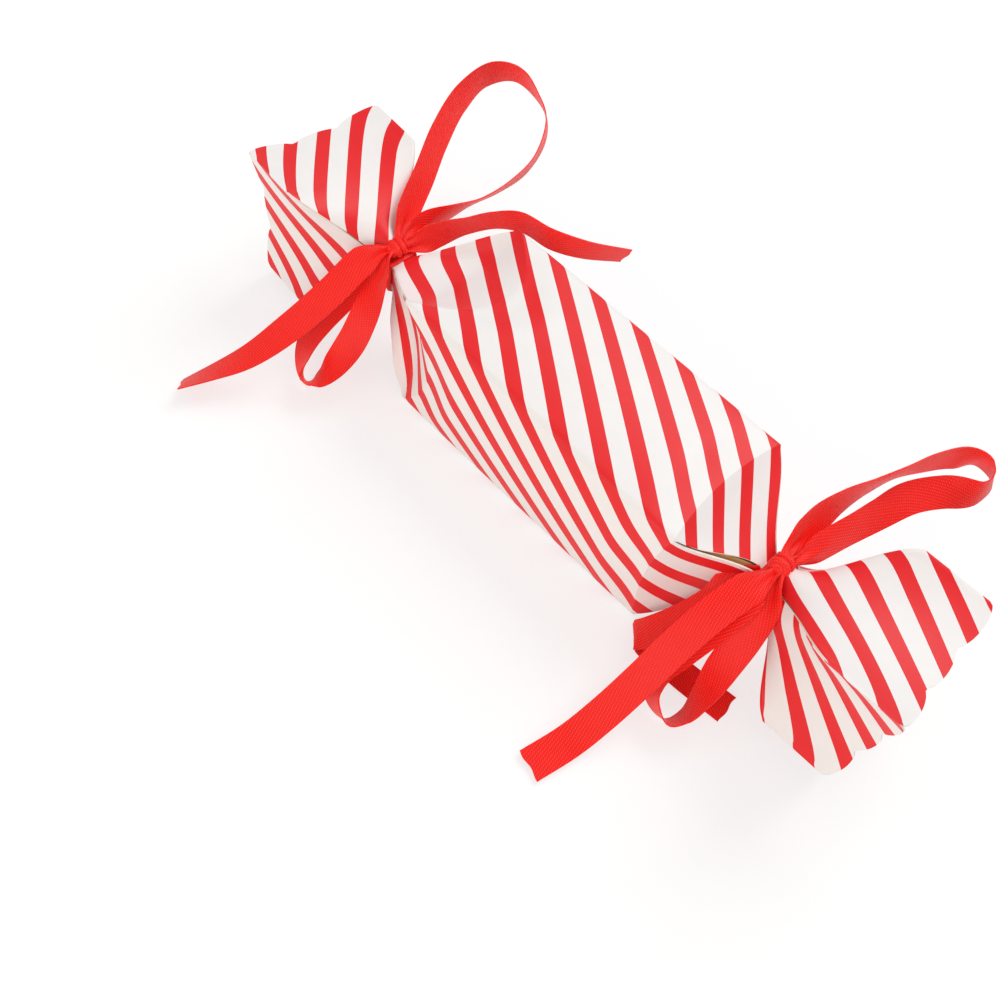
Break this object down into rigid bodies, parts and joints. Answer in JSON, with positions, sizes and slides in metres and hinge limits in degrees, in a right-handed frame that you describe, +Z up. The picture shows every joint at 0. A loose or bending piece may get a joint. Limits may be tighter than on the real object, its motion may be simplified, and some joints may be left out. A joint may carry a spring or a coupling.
{
  "type": "christmas cracker",
  "caption": "Box-section card cracker with tied necks, scalloped flared ends, ribbon bows, a pull-apart snap and loose wax melts inside.",
  "frame": {"origin": "middle of the flat bottom panel, on the surface that the cracker lies on", "axes": "+X along the cracker towards its right-hand end, +Y to the far side panel, +Z up"},
  "size_m": [0.2612, 0.166, 0.0585],
  "materials": {
    "striped_card": "satin",
    "kraft_tape": "satin",
    "ribbon": "satin",
    "snap_card": "matte",
    "snap_paper": "matte",
    "gingerbread_wax": "satin",
    "candy_cane_wax": "satin"
  },
  "bodies": {
    "wrapper": {"wrapper_body": "striped_card", "seam_tape": "kraft_tape"},
    "left_end": {"wrapper_left_end": "striped_card", "left_ribbon_turn": "ribbon", "left_knot": "ribbon", "left_big_loop": "ribbon", "left_small_loop": "ribbon", "left_long_tail": "ribbon", "left_short_tail": "ribbon", "snap_strip_left": "snap_card", "snap_sleeve": "snap_paper"},
    "right_end": {"wrapper_right_end": "striped_card", "right_ribbon_turn": "ribbon", "right_knot": "ribbon", "right_big_loop": "ribbon", "right_small_loop": "ribbon", "right_long_tail": "ribbon", "right_short_tail": "ribbon", "snap_strip_right": "snap_card"},
    "gingerbread": {"gingerbread_melt": "gingerbread_wax"},
    "candy_cane": {"candy_cane_melt": "candy_cane_wax"}
  },
  "joints": [
    {"name": "left_end_pull", "type": "slide", "parent": "wrapper", "child": "left_end", "axis": [-0.9996, -0.0257, -0.0069], "range_m": [0, 0.055]},
    {"name": "right_end_pull", "type": "slide", "parent": "wrapper", "child": "right_end", "axis": [0.9996, 0.0257, 0.0069], "range_m": [0, 0.055]},
    {"name": "gingerbread_slide", "type": "slide", "parent": "wrapper", "child": "gingerbread", "axis": [1, 0, 0], "range_m": [-0.015, 0.012]},
    {"name": "candy_cane_slide", "type": "slide", "parent": "wrapper", "child": "candy_cane", "axis": [1, 0, 0], "range_m": [-0.015, 0.008]}
  ]
}
